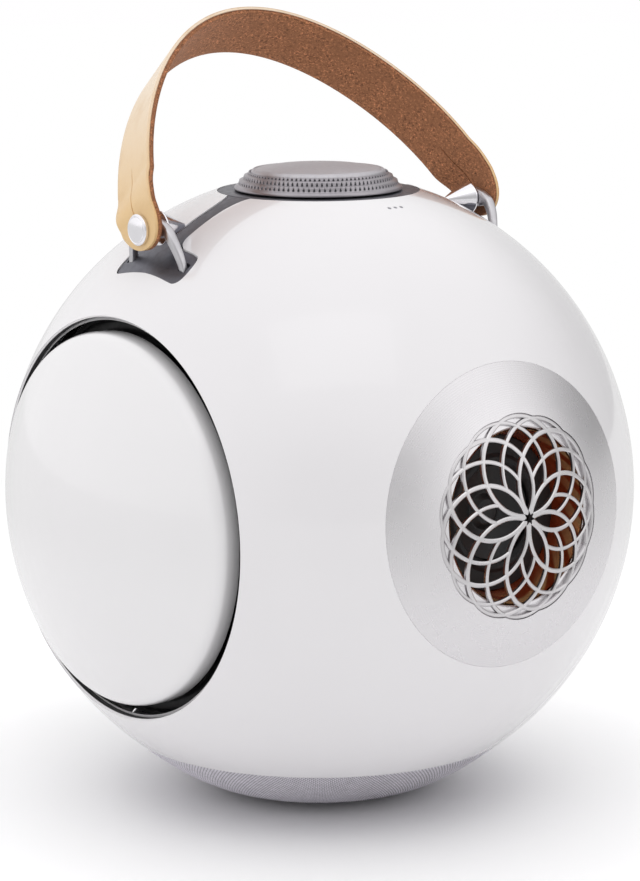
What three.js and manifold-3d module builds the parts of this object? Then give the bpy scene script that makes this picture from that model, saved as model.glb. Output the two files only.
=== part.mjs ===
// Spherical smart speaker: a gloss shell with two opposed side drivers, a front driver behind a
// rosette grille, a rotary volume dial on top and a leather carrying strap that swings on two studs.
// Millimetres, +Z up. The front grille faces -Y. The origin is under the foot, on the table.
import * as THREE from 'three';
import { mergeVertices } from 'three/addons/utils/BufferGeometryUtils.js';
import Module from 'manifold-3d';

// Driving dimensions
const SPHERE_R = 150;
const CENTRE_HEIGHT = 146;
const SHELL_T = 3.5;
const GAP = 0.4;
const BALL_STEPS = [32, 16];

const WOOFER_HOLE_R = 92.4;
const DOME_R = 86.1;
const DOME_T = 3.2;
const DOME_SKIRT_H = 112;

const FRONT_LIFT = 3.6;
const BEZEL_R = 68.6;
const GRILLE_R = 46.3;
const GRILLE_T = 1.8;
const RIB_W = 2.0;
const PETALS = 7;
const STAR_R = 3.5;

const BASE_TOP_H = -116.85;
const BASE_EDGE_R = 41;
const FOOT_R = 36;

const DIAL_R = 39.6;
const DIAL_CAP_R = 31.9;
const COLLAR_R = 47.3;
const COLLAR_H = 142.3;
const SPINE_HALF_W = 4.75;

const STUD_H = 131.5;
const STUD_SHAFT_R = 2.2;
const STUD_HEAD_R = 7.2;
const CONE_BASE_X = 92.85;
const CONE_TIP_X = 78;
const BAIL_X = [93.2, 97.8];
const BAIL_FOOT_X = 92.8;
const FOOT_Y = [17, 22.7];

const STRAP_END_X = 100.9;
const STRAP_HALF_SPAN = 100.35;
const STRAP_RISE = 86.2;
const STRAP_LEAN = 66.6;
const STRAP_TWIST = THREE.MathUtils.degToRad(41.2);
const STRAP_W = 31.2;
const STRAP_START = 0.045;
// Each end of the strap, below the stud: distance down, lean in degrees, share of the full width
const STRAP_TAIL = [[4.5, 24, 0.93], [3.7, 17, 0.76], [2.6, 14, 0.52], [1.4, 13, 0.25]];
const LEATHER = [0.5, 1.9];
const LINING = [-1.9, 0.2];

const REAR_COVER_Y = 112;
const PANEL_H = -62;
const PANEL_Y = 120;
const PANEL_HALF = [38, 17];
const INLET_X = -16;
const JACK_X = 3;
const BUTTONS = [['power_button', 15], ['pair_button', 27]];
const BUTTON_R = 4;

const LIGHTS = [['left', -3.5], ['middle', 0], ['right', 3.5]];
const LIGHT_Y = -56.6;
const LIGHT_R = 0.8;

// Solids: three.js geometry in, manifold-3d booleans, three.js geometry out
const wasm = await Module();
wasm.setup();

function solid(geometry) {
  const bare = geometry.clone();
  bare.deleteAttribute('normal');
  bare.deleteAttribute('uv');
  const merged = mergeVertices(bare, 1e-4);
  const index = merged.index.array;
  const place = merged.attributes.position.array;
  const kept = [];
  let volume = 0;
  const corner = [new THREE.Vector3(), new THREE.Vector3(), new THREE.Vector3()];
  for (let i = 0; i < index.length; i += 3) {
    const [a, b, c] = [index[i], index[i + 1], index[i + 2]];
    if (a === b || b === c || a === c) continue;
    kept.push(a, b, c);
    [a, b, c].forEach((v, k) => corner[k].fromArray(place, 3 * v));
    volume += corner[0].dot(corner[1].clone().cross(corner[2]));
  }
  if (volume < 0) kept.reverse();
  const mesh = new wasm.Mesh({
    numProp: 3,
    vertProperties: new Float32Array(place),
    triVerts: new Uint32Array(kept),
  });
  return new wasm.Manifold(mesh);
}

function geometryOf(body) {
  const out = body.getMesh();
  const geometry = new THREE.BufferGeometry();
  geometry.setAttribute('position', new THREE.BufferAttribute(out.vertProperties, 3));
  geometry.setIndex(new THREE.BufferAttribute(out.triVerts, 1));
  const flat = geometry.toNonIndexed();
  flat.computeVertexNormals();
  return flat;
}

const unite = (...bodies) => bodies.reduce((a, b) => a.add(b));
const cut = (body, ...tools) => tools.reduce((a, b) => a.subtract(b), body);

// Shapes
const UP = new THREE.Vector3(0, 0, 1);
const rad = THREE.MathUtils.degToRad;
const FRONT = new THREE.Vector3(0, -Math.cos(rad(FRONT_LIFT)), Math.sin(rad(FRONT_LIFT)));
const onBall = (r, ring) => Math.sqrt(r * r - ring * ring);

function ball(radius) {
  const geometry = new THREE.SphereGeometry(radius, ...BALL_STEPS);
  return solid(geometry.rotateX(Math.PI / 2));
}

// A turned body: profile points are [radius, distance along the axis], the axis runs along `way`
function turned(profile, way = UP, steps = 28, closed = false) {
  const points = profile.map(([r, h]) => new THREE.Vector2(r, h));
  if (closed) points.push(points[0].clone());
  const geometry = new THREE.LatheGeometry(points, steps);
  const turn = new THREE.Quaternion().setFromUnitVectors(new THREE.Vector3(0, 1, 0), way);
  return solid(geometry.applyQuaternion(turn));
}

const ring = (profile, way, steps) => turned(profile, way, steps, true);

function rod(radius, from, to, way = UP, steps = 20) {
  return turned([[0, from], [radius, from], [radius, to], [0, to]], way, steps);
}

function box(x, y, z) {
  const geometry = new THREE.BoxGeometry(x[1] - x[0], y[1] - y[0], z[1] - z[0]);
  geometry.translate((x[0] + x[1]) / 2, (y[0] + y[1]) / 2, (z[0] + z[1]) / 2);
  return solid(geometry);
}

function shapeFrom(points) {
  return new THREE.Shape(points.map(([x, y]) => new THREE.Vector2(x, y)));
}

// An outline in X and Y, drawn out along Z
function prism(shape, from, to, curveSegments = 12) {
  const options = { depth: to - from, bevelEnabled: false, curveSegments };
  const geometry = new THREE.ExtrudeGeometry(shape, options);
  geometry.translate(0, 0, from);
  return solid(geometry);
}

// Points of a spherical profile between two ring radii, outermost first
function ballArc(radius, ringFrom, ringTo, steps) {
  const [from, to] = [Math.asin(ringFrom / radius), Math.asin(ringTo / radius)];
  return Array.from({ length: steps + 1 }, (_, i) => {
    const a = from + ((to - from) * i) / steps;
    return [radius * Math.sin(a), radius * Math.cos(a)];
  });
}

// The scene graph: everything is modelled about the sphere's centre
const speaker = new THREE.Group();
const about = new THREE.Group();
about.position.z = CENTRE_HEIGHT;
speaker.add(about);

const FINISH = {
  gloss_white: [0xf2eff1, 0.12, 0.0],
  silver: [0xb9b8bc, 0.32, 0.9],
  dark_trim: [0x5c5b63, 0.5, 0.3],
  dial_grey: [0x98949b, 0.4, 0.7],
  polished: [0xe2e1e6, 0.12, 1.0],
  copper: [0xb5652f, 0.22, 1.0],
  rubber: [0x101011, 0.75, 0.0],
  steel: [0x74757a, 0.4, 0.9],
  magnet: [0x2b2b2e, 0.6, 0.2],
  plastic: [0x26262a, 0.55, 0.0],
  mesh: [0xb7b2bb, 0.7, 0.1],
  leather: [0xdfba86, 0.6, 0.0],
  suede: [0x8a5638, 0.9, 0.0],
  board: [0x1d4a30, 0.5, 0.0],
  light: [0x8d8c92, 0.2, 0.0],
};

function part(name, finish, body) {
  const [color, roughness, metalness] = FINISH[finish];
  const material = new THREE.MeshStandardMaterial({ color, roughness, metalness });
  const mesh = new THREE.Mesh(geometryOf(body), material);
  mesh.name = name;
  about.add(mesh);
  return mesh;
}

const SIDES = [['left', -1], ['right', 1]];
const outward = (side) => new THREE.Vector3(side, 0, 0);

// Top trim: a round collar under the dial, a spine to each side and an anchor plate at its end
function trimOutline(grow) {
  const w = SPINE_HALF_W + grow;
  const mouth = [[43, w + 6.4], [47, w + 3.5], [51, w + 1.6], [56, w + 0.5], [62, w]];
  const plate = [[80, w], [83, w + 0.7], [85.3 - grow, w + 2.4], [86.4 - grow, w + 6],
    [86.8 - grow, 20.4], [88.2 - grow, 23 + grow], [91, 24 + grow], [95.5, 24.4 + grow],
    [98.2, 23.9 + grow], [100 + grow, 21.8 + grow], [100.4 + grow, 19], [100 + grow, 8]];
  const edge = [...mouth, ...plate];
  const outline = [...edge, ...edge.map(([x, y]) => [x, -y]).reverse()];
  const arm = prism(shapeFrom(outline), 90, 160);
  return unite(rod(COLLAR_R + grow, 90, 160, UP, 32), arm, arm.mirror([1, 0, 0]));
}

const trimSkin = ball(SPHERE_R - 0.1).subtract(ball(SPHERE_R - 1.9));
const collarDisc = rod(COLLAR_R, COLLAR_H - 1.8, COLLAR_H, UP, 32);
const aboveCollar = rod(COLLAR_R + 3, COLLAR_H, 170, UP, 32);
const dialBore = rod(14, 100, 170);
const FEET = SIDES.flatMap(([, side]) => [-1, 1].map((end) => [side, end]));
const socketFor = (side, end) => {
  const x = [side * BAIL_FOOT_X - 2.5, side * BAIL_FOOT_X + 2.5];
  const y = end > 0 ? FOOT_Y : [-FOOT_Y[1], -FOOT_Y[0]];
  return box(x, y, [100, 160]);
};
const sockets = FEET.map(([side, end]) => socketFor(side, end));
const trimBody = cut(trimSkin.intersect(trimOutline(0)), aboveCollar, dialBore, ...sockets);
part('top_trim', 'dark_trim', unite(trimBody, cut(collarDisc, dialBore)));

// Shell: one gloss skin with openings for the drivers, the dial, the base and the rear cover
const skin = ball(SPHERE_R).subtract(ball(SPHERE_R - SHELL_T));
const wooferHoles = SIDES.map(([, side]) => rod(WOOFER_HOLE_R, 40, 170, outward(side), 32));
const bezelHole = rod(BEZEL_R + GAP, 60, 170, FRONT, 32);
const trimRecess = trimOutline(GAP).subtract(ball(SPHERE_R - 2.4));
const dialOpening = rod(COLLAR_R - 1.7, 100, 170, UP, 32);
const collarRecess = rod(COLLAR_R + GAP, COLLAR_H - 2.3, 170, UP, 32);
const below = box([-160, 160], [-160, 160], [-160, BASE_TOP_H]);
const behind = box([-160, 160], [REAR_COVER_Y, 160], [-160, 160]);
const lightWay = (x) => new THREE.Vector3(x, LIGHT_Y, onBall(SPHERE_R, Math.hypot(x, LIGHT_Y))).normalize();
const lightHoles = LIGHTS.map(([, x]) => rod(LIGHT_R + 0.3, 140, 160, lightWay(x), 10));
part('shell_main', 'gloss_white', cut(skin, ...wooferHoles, bezelHole, trimRecess, dialOpening,
  collarRecess, below, behind, ...lightHoles));
for (const [name, x] of LIGHTS) {
  part(`status_light_${name}`, 'light', rod(LIGHT_R, 145, SPHERE_R, lightWay(x), 10));
}

// Rear cover with a recessed connector panel
function stadium(halfX, halfZ, from, to) {
  const shape = new THREE.Shape();
  const flat = halfX - halfZ;
  shape.absarc(flat, 0, halfZ, -Math.PI / 2, Math.PI / 2);
  shape.absarc(-flat, 0, halfZ, Math.PI / 2, (3 * Math.PI) / 2);
  const options = { depth: to - from, bevelEnabled: false, curveSegments: 6 };
  const geometry = new THREE.ExtrudeGeometry(shape, options);
  geometry.translate(0, 0, from);
  geometry.rotateX(-Math.PI / 2);
  geometry.translate(0, 0, PANEL_H);
  return solid(geometry);
}

const [panelX, panelZ] = PANEL_HALF;
const rearCap = skin.intersect(box([-160, 160], [REAR_COVER_Y + 3, 160], [-160, 160]));
part('rear_cover', 'gloss_white', rearCap.subtract(stadium(panelX + GAP, panelZ + GAP, 90, 170)));
const BACK = new THREE.Vector3(0, 1, 0);
const sealOuter = onBall(SPHERE_R - 1, REAR_COVER_Y + 1.5);
part('rear_seal', 'rubber', ring([[sealOuter - 4.6, REAR_COVER_Y + 0.4], [sealOuter, REAR_COVER_Y + 0.4],
  [sealOuter, REAR_COVER_Y + 2.6], [sealOuter - 4.6, REAR_COVER_Y + 2.6]], BACK, 28));

const atPanel = (body, x) => body.translate([x, 0, PANEL_H]);
const tub = stadium(panelX, panelZ, PANEL_Y - 2.5, 155).intersect(ball(SPHERE_R - 0.2));
const hollow = stadium(panelX - 2.2, panelZ - 2.2, PANEL_Y, 160);
const inletHole = box([-11.4, 11.4], [110, 125], [-8.4, 8.4]);
part('rear_panel', 'plastic', cut(tub, hollow, atPanel(inletHole, INLET_X),
  atPanel(rod(4.4, 110, 125, BACK, 20), JACK_X),
  ...BUTTONS.map(([, x]) => atPanel(rod(BUTTON_R + 0.4, 110, 125, BACK, 20), x))));
for (const [name, x] of BUTTONS) {
  part(name, 'silver', atPanel(rod(BUTTON_R, 114, PANEL_Y + 1.6, BACK, 24), x));
}
const inletBody = box([-11, 11], [100, PANEL_Y + 0.8], [-8, 8]);
const inletSocket = stadium(8, 4.4, 108, 130).translate([0, 0, -PANEL_H]);
part('mains_inlet', 'plastic', atPanel(inletBody.subtract(inletSocket), INLET_X));
const jackBody = rod(4, 104, PANEL_Y + 0.8, BACK, 20);
part('audio_jack', 'steel', atPanel(jackBody.subtract(rod(1.8, 108, 130, BACK, 14)), JACK_X));

// Base: a woven-look skin that carries the sphere down to a rubber foot
const DOWN = new THREE.Vector3(0, 0, -1);
const meshTop = BASE_TOP_H - 0.8;
// Below the sphere's line the skin swells a little, then turns in towards the foot
const swell = [[34, 150.45], [29.5, 151.2], [25, 151.75], [20.5, 151.6], [15.8, 151]];
const outerBase = [[onBall(SPHERE_R, meshTop), -meshTop],
  ...swell.map(([a, r]) => [r * Math.sin(rad(a)), r * Math.cos(rad(a))])];
const innerBase = ballArc(SPHERE_R - 2.2, BASE_EDGE_R, onBall(SPHERE_R - 2.2, meshTop), 3);
part('base_mesh', 'mesh', ring([...outerBase, ...innerBase], DOWN, 32));
part('base_plate', 'plastic', turned([[0, 131], [70, 118.5], [80, 118.5], [79, 121.4], [60, 131.9],
  [38.2, 139.8], [38.2, 143], [0, 143]], DOWN, 24));
part('foot_pad', 'rubber', ring([[24, 143.4], [FOOT_R, 143.4], [FOOT_R, 145], [FOOT_R - 1, CENTRE_HEIGHT],
  [24, CENTRE_HEIGHT]], DOWN, 28));
for (let i = 0; i < 3; i += 1) {
  const a = (i * 2 * Math.PI) / 3;
  const screw = cut(rod(3.4, 143.4, 145.2, DOWN, 18), rod(1.5, 144.4, 146, DOWN, 6));
  part(`base_screw_${i + 1}`, 'steel', screw.translate([16 * Math.cos(a), 16 * Math.sin(a), 0]));
}

// Front bezel, rosette grille, copper waveguide and the front driver
const seatR = GRILLE_R + 0.6;
const bezelArc = ballArc(SPHERE_R, BEZEL_R, seatR, 3);
part('front_bezel', 'silver', ring([...bezelArc, [seatR, 140.3], [40.2, 142.3], [39.6, 141.5], [39.6, 136.4],
  [52, 134.5], [BEZEL_R, 129]], FRONT, 32));

function rosette() {
  const reach = GRILLE_R / 2;
  const loop = (angle, width) => {
    const [x, y] = [reach * Math.cos(angle), reach * Math.sin(angle)];
    const outline = new THREE.Shape().absarc(x, y, reach, 0, 2 * Math.PI);
    outline.holes.push(new THREE.Path().absarc(x, y, reach - width, 0, 2 * Math.PI));
    return prism(outline, 0, 1, 6);
  };
  const disc = (angle) => {
    const centre = [reach * Math.cos(angle), reach * Math.sin(angle)];
    return prism(new THREE.Shape().absarc(...centre, reach - RIB_W / 2, 0, 2 * Math.PI), -1, 2, 6);
  };
  const step = (2 * Math.PI) / PETALS;
  const first = Math.PI / 2;
  const turns = Array.from({ length: PETALS }, (_, k) => first + k * step);
  const lenses = turns.map((a) => disc(a - step).intersect(disc(a + step)));
  const petals = unite(...lenses);
  const primary = unite(...turns.map((a) => loop(a, RIB_W)));
  const secondary = unite(...turns.map((a) => loop(a + step / 2, RIB_W * 0.8)));
  const tips = [];
  for (let k = 0; k < 2 * PETALS; k += 1) {
    const r = k % 2 ? STAR_R * 0.5 : STAR_R;
    tips.push([r * Math.cos(first + (k * step) / 2), r * Math.sin(first + (k * step) / 2)]);
  }
  return cut(unite(primary, secondary.subtract(petals)), prism(shapeFrom(tips), -1, 2));
}

// Bends a flat plate, drawn in X and Y and one unit thick, onto the front of the sphere
function bendToFront(flat, thickness) {
  return flat.warp((v) => {
    const [x, z, depth] = [v[0], v[1], v[2]];
    const r = SPHERE_R - 0.1 - thickness * (1 - depth);
    const off = Math.hypot(x, z);
    v[0] = x;
    v[1] = -Math.sqrt(r * r - off * off);
    v[2] = z;
  });
}
part('front_grille', 'silver', bendToFront(rosette(), GRILLE_T).rotate([-FRONT_LIFT, 0, 0]));

part('waveguide_ring', 'copper', ring([[39.1, 141.7], [38.5, 139.6], [37.2, 135.5], [36.1, 131],
  [35.4, 124.9], [36.9, 124.9], [37.6, 131], [38.8, 135.5], [39.1, 138]], FRONT, 24));
part('front_surround', 'rubber', ring([[35, 124.8], [35, 126.2], [27, 126.2], [25, 127.4], [23, 127.6],
  [21.6, 126.2], [21.6, 124.8]], FRONT, 28));
part('front_cone', 'rubber', turned([[0, 121], [7, 121], [8, 118.8], [21, 124.4], [21, 123.2], [8, 116.8],
  [0, 119.4]], FRONT, 24));
part('front_coil', 'copper', ring([[7.2, 104], [8, 104], [8, 115.6], [7.2, 115.6]], FRONT, 20));
part('front_basket', 'steel', ring([[41, 124.4], [41, 122.8], [27, 121], [22.6, 110], [22.6, 107.4],
  [20.6, 107.4], [20.6, 110.6], [25, 122.4], [25, 124.4]], FRONT, 24));
part('front_magnet', 'magnet', turned([[0, 84], [20, 84], [20, 107], [9, 107], [9, 94], [6.2, 94],
  [6.2, 107], [0, 107]], FRONT, 24));

// Side drivers
for (const [name, side] of SIDES) {
  const way = outward(side);
  const domeTop = ballArc(SPHERE_R - 0.2, 0, DOME_R - 8.4, 4);
  const domeUnder = ballArc(SPHERE_R - DOME_T, DOME_R - 7, 0, 2);
  part(`woofer_dome_${name}`, 'gloss_white', turned([...domeTop, [DOME_R - 4.4, 125], [DOME_R - 1.5, 121.4],
    [DOME_R, 116.8], [DOME_R, DOME_SKIRT_H], [DOME_R - 3, DOME_SKIRT_H], [DOME_R - 3, 116.4],
    ...domeUnder], way, 28));
  part(`woofer_coil_${name}`, 'copper', ring([[37, 60], [39, 60], [39, 140.6], [37, 140.6]], way, 20));
  part(`woofer_surround_${name}`, 'rubber', ring([[94, 102.5], [94, 104.2], [90.4, 104.2], [86, 106.4],
    [81, 104.4], [81, 102.5]], way, 24));
  part(`woofer_basket_${name}`, 'steel', ring([[94.6, 98.6], [94.6, 102.1], [83, 102.1], [58.4, 80],
    [55.6, 80], [55.6, 68], [59.6, 68], [60.6, 76.6], [85.4, 98.6]], way, 24));
  part(`woofer_magnet_${name}`, 'magnet', turned([[0, 40], [55, 40], [55, 92], [40.4, 92], [40.4, 50],
    [35.6, 50], [35.6, 92], [0, 92]], way, 20));
}

// Chassis and electronics
const chassis = unite(
  ring([[62, -33], [70, -33], [70, 33], [62, 33]], new THREE.Vector3(1, 0, 0), 28),
  box([-18, 18], [-18, 18], [-122, -66]),
  box([-14, 14], [-14, 14], [66, 112]),
  box([-14, 14], [-79, -66], [-14, 14]),
);
part('core_chassis', 'steel', chassis);
part('main_board', 'board', box([-20, -18.4], [-40, 40], [-40, 40]));
part('power_supply', 'plastic', box([-8, 26], [-34, 34], [-26, 26]));
part('encoder_body', 'plastic', ring([[13.4, 113], [24, 113], [24, 137.6], [13.4, 137.6]], UP, 24));

// Volume dial: a stepped knurled ring round a cap that presses
part('dial_ring', 'dial_grey', ring([[DIAL_R - 0.5, 142.8], [DIAL_R, 143.3], [39.3, 144.4], [37.8, 145.1],
  [37.4, 146.4], [36.9, 147.2], [35.5, 147.6], [35.1, 148.8], [34.6, 149.5], [33.3, 149.9], [32.9, 150.6],
  [DIAL_CAP_R + 0.5, 151], [DIAL_CAP_R + 0.5, 146], [10, 145.4], [10, 120], [12.6, 120], [12.6, 142.8]], UP, 30));
part('dial_cap', 'dial_grey', turned([[0, 154.7], [15, 154.1], [28.9, 152.5], [29.5, 151.8], [29.9, 151.8],
  [30.4, 152.4], [31.4, 151.6], [DIAL_CAP_R, 150.7], [DIAL_CAP_R, 147.8], [5, 147.8], [5, 124], [0, 124]], UP, 30));

// Bails: one bowed bar over each anchor plate, leaning outward and thicker at the top, with a stud eye
function bail(side) {
  const outer = new THREE.Shape();
  outer.moveTo(22.4, 108.1);
  outer.quadraticCurveTo(20.8, 124.5, 13.8, 132.3);
  outer.quadraticCurveTo(8.2, 136.9, 0, 137.1);
  outer.quadraticCurveTo(-8.2, 136.9, -13.8, 132.3);
  outer.quadraticCurveTo(-20.8, 124.5, -22.4, 108.1);
  outer.lineTo(-18.6, 108.1);
  outer.quadraticCurveTo(-17, 121.5, -10.8, 128.9);
  outer.quadraticCurveTo(-6, 127.9, 0, 127.1);
  outer.quadraticCurveTo(6, 127.9, 10.8, 128.9);
  outer.quadraticCurveTo(17, 121.5, 18.6, 108.1);
  const flat = new THREE.ExtrudeGeometry(outer, {
    depth: BAIL_X[1] - BAIL_X[0] - 2.4, bevelEnabled: true, bevelThickness: 1.2, bevelSize: 1,
    bevelOffset: -1, bevelSegments: 1, curveSegments: 4,
  });
  flat.rotateZ(Math.PI / 2);
  flat.rotateY(Math.PI / 2);
  flat.translate(BAIL_X[0] + 1.2, 0, 0);
  const eye = rod(STUD_SHAFT_R + 0.3, 80, 120, new THREE.Vector3(1, 0, 0), 20).translate([0, 0, STUD_H]);
  const inSocket = ball(SPHERE_R - 2.2);
  const middle = (BAIL_X[0] + BAIL_X[1]) / 2;
  const leaning = solid(flat).warp((v) => {
    const up = THREE.MathUtils.smoothstep(v[2], 112, 131);
    v[0] = THREE.MathUtils.lerp(BAIL_FOOT_X, middle, up) + (v[0] - middle) * THREE.MathUtils.lerp(0.72, 1, up);
  });
  const body = cut(leaning, eye, inSocket);
  return side > 0 ? body : body.mirror([1, 0, 0]);
}
for (const [name, side] of SIDES) part(`bail_${name}`, 'silver', bail(side));

// Studs: a polished head outside the strap, a shaft through strap and bail, a cone nut inside
for (const [name, side] of SIDES) {
  const way = outward(side);
  const head = turned([[0, CONE_BASE_X + 0.4], [STUD_SHAFT_R, CONE_BASE_X + 0.4], [STUD_SHAFT_R, 103],
    [STUD_HEAD_R, 103], [STUD_HEAD_R, 104.4], [STUD_HEAD_R - 1, 105.6], [0, 106]], way, 32);
  part(`stud_${name}`, 'polished', head.translate([0, 0, STUD_H]));
  const nut = turned([[0, CONE_TIP_X], [1.3, CONE_TIP_X + 0.7], [5, 86], [8, 92.2], [8, CONE_BASE_X],
    [0, CONE_BASE_X]], way, 28);
  part(`cone_nut_${name}`, 'polished', nut.translate([0, 0, STUD_H]));
}

// Strap: an arch over the dial that leans back; its two ends hang straight over the studs
function strapStation(t) {
  const angle = Math.PI * t;
  const rise = Math.sin(angle) ** 1.313;
  const [y, z] = [STRAP_LEAN * rise ** 1.159, STRAP_RISE * rise - 4];
  const across = STRAP_HALF_SPAN * Math.cos(angle) * (1 + 0.015 * Math.sin(Math.PI * rise));
  const reach = Math.hypot(y, z);
  const ease = THREE.MathUtils.smoothstep(reach, 8, 24);
  const near = 1 - THREE.MathUtils.smoothstep(reach, 4, 24);
  const end = Math.sign(0.5 - t) * STRAP_END_X;
  const place = new THREE.Vector3(-THREE.MathUtils.lerp(end, across, ease), y - 1.5 * near, STUD_H + z);
  return { place, rise, half: (STRAP_W / 2) * (1 - 0.08 * near) };
}

function strapTail(end) {
  const { place, half } = strapStation(STRAP_START);
  place.x *= -end;
  return STRAP_TAIL.map(([down, lean, share]) => {
    const way = new THREE.Vector3(0, -end * Math.sin(rad(lean)), -end * Math.cos(rad(lean)));
    place.addScaledVector(way, end * down);
    return { place: place.clone(), half: half * share, twist: rad(lean), way };
  });
}

function strapLayer([inner, outer]) {
  const count = 22;
  const stations = [];
  for (let i = 0; i <= count; i += 1) {
    const t = STRAP_START + ((1 - 2 * STRAP_START) * i) / count;
    const { place, rise, half } = strapStation(t);
    const next = strapStation(t + 0.002).place;
    const last = strapStation(t - 0.002).place;
    const ease = THREE.MathUtils.smoothstep(rise, 0, 0.244);
    stations.push({ place, half, twist: STRAP_TWIST * ease, way: next.sub(last) });
  }
  const all = [...strapTail(-1).reverse(), ...stations, ...strapTail(1)];
  const corners = [];
  for (const { place, half, twist, way } of all) {
    const along = way.clone().normalize();
    const lateral = new THREE.Vector3(0, Math.cos(twist), -Math.sin(twist));
    lateral.addScaledVector(along, -lateral.dot(along)).normalize();
    const out = along.clone().cross(lateral).normalize();
    for (const [side, off] of [[-1, inner], [1, inner], [1, outer], [-1, outer]]) {
      corners.push(place.clone().addScaledVector(lateral, side * half).addScaledVector(out, off));
    }
  }
  const index = [0, 1, 2, 0, 2, 3];
  for (let s = 0; s < all.length - 1; s += 1) {
    for (let k = 0; k < 4; k += 1) {
      const [a, b] = [4 * s + k, 4 * s + ((k + 1) % 4)];
      if (s < all.length / 2 - 1) index.push(a, a + 4, b, b, a + 4, b + 4);
      else index.push(a, a + 4, b + 4, a, b + 4, b);
    }
  }
  const e = 4 * (all.length - 1);
  index.push(e, e + 2, e + 1, e, e + 3, e + 2);
  const geometry = new THREE.BufferGeometry().setFromPoints(corners);
  geometry.setIndex(index);
  const X = new THREE.Vector3(1, 0, 0);
  const eyes = rod(STUD_SHAFT_R + 0.4, -130, 130, X, 16).translate([0, 0, STUD_H]);
  return solid(geometry).subtract(eyes);
}
part('strap_leather', 'leather', strapLayer(LEATHER));
part('strap_lining', 'suede', strapLayer(LINING));

export default speaker;
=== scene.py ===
"""The looks of a spherical smart speaker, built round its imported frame.

Shapes are worked out in millimetres about the centre of the sphere, with +Z up and the grille
facing -Y. add_piece() moves them into the frame, in metres.
"""
import math

import bmesh
import bpy
import numpy as np
from mathutils import Matrix, Vector


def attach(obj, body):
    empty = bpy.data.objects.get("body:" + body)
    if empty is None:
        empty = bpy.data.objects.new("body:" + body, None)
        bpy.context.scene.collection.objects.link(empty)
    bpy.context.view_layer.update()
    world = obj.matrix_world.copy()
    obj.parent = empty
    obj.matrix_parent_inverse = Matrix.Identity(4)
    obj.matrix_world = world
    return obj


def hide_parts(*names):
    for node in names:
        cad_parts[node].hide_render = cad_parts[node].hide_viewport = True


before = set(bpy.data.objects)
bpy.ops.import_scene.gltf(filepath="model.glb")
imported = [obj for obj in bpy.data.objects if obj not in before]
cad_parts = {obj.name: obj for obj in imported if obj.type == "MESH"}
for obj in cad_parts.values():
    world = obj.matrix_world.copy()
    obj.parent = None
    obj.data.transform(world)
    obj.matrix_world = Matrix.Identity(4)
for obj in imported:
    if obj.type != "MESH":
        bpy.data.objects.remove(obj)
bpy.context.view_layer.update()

MM = 0.001
FLOOR_H = 146.0  # from the table up to the centre of the sphere
CENTRE = Vector((0, 0, FLOOR_H * MM))
TO_FRAME = Matrix.Translation(CENTRE) @ Matrix.Scale(MM, 4)
UP, DOWN = Vector((0, 0, 1)), Vector((0, 0, -1))
FRONT_LIFT = Matrix.Rotation(math.radians(-3.6), 3, "X")
FRONT, BACK = FRONT_LIFT @ Vector((0, -1, 0)), Vector((0, 1, 0))
SIDES = {"left": -1, "right": 1}

# Driving dimensions
BALL_R = 150.0
SHELL_T = 3.5
SEAM = 0.4
LIP, BASE_LIP = 0.8, 0.5
FAR = 170.0  # where a cutting tool ends, well outside the ball
WOOFER_HOLE_R = 92.4
DOME_R = 86.1
DOME_EDGE_R = 8.0
BEZEL_R = 68.6
THROAT_R = 39.7
GRILLE_R = 46.3
RIB_W = 2.0
PETALS = 7
STAR_R = 3.5
BASE_TOP = -116.85
BASE_EDGE_R = 41.0
BASE_T = 2.2
FOOT_R = 36.0
DIAL_R = 39.6
CAP_R = 31.9
COLLAR_R = 47.3
COLLAR_TOP = 142.3
COLLAR_BORE_R = 14.0
SPINE_HALF_W = 4.75
TRIM_SINK, TRIM_BACK, RECESS_DEPTH = 0.45, 2.1, 2.2
STUD_H = 131.5
CONE_BASE_X, CONE_TIP_X = 92.85, 78.0
BAIL_X = (93.2, 97.8)
BAIL_FOOT_X = 92.8
REAR_COVER_Y = 112.0
PANEL_H, PANEL_Y = -62.0, 120.0
INLET_X, JACK_X, KEY_X = -16, 3, {"power": 15, "pair": 27}


def side_way(side):
    return Vector((side, 0, 0))


# ------------------------ curves
def on_ball(radius, ring):
    """How far along its axis a ring of that radius lies on a ball."""
    return math.sqrt(radius * radius - ring * ring)


def share(value):
    """The value, held between 0 and 1."""
    return min(1.0, max(0.0, value))


def smooth(value, low, high):
    t = share((value - low) / (high - low))
    return t * t * (3 - 2 * t)


def quadratic(a, b, c, t):
    return Vector(a) * (1 - t) ** 2 + Vector(b) * 2 * t * (1 - t) + Vector(c) * t * t


def smooth_curve(points, steps):
    """A Catmull-Rom curve through the points."""
    p = [np.array(q, float) for q in points]
    p = [2 * p[0] - p[1], *p, 2 * p[-1] - p[-2]]
    out = []
    for i in range(1, len(p) - 2):
        a, b, c, d = p[i - 1:i + 3]
        for k in range(steps):
            t = k / steps
            out.append(tuple(0.5 * (2 * b + (c - a) * t + (2 * a - 5 * b + 4 * c - d) * t ** 2
                                    + (3 * b - a - 3 * c + d) * t ** 3)))
    return out + [tuple(p[-2])]


def arc(middle, start, end, sweep, radius=1.0, first=0, steps=12):
    """Points about middle as an arm turns by sweep from start to end."""
    points = []
    for k in range(first, steps + 1):
        t = k / steps
        swept = start * math.sin((1 - t) * sweep) + end * math.sin(t * sweep)
        points.append(middle + swept / math.sin(sweep) * radius)
    return points


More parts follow.
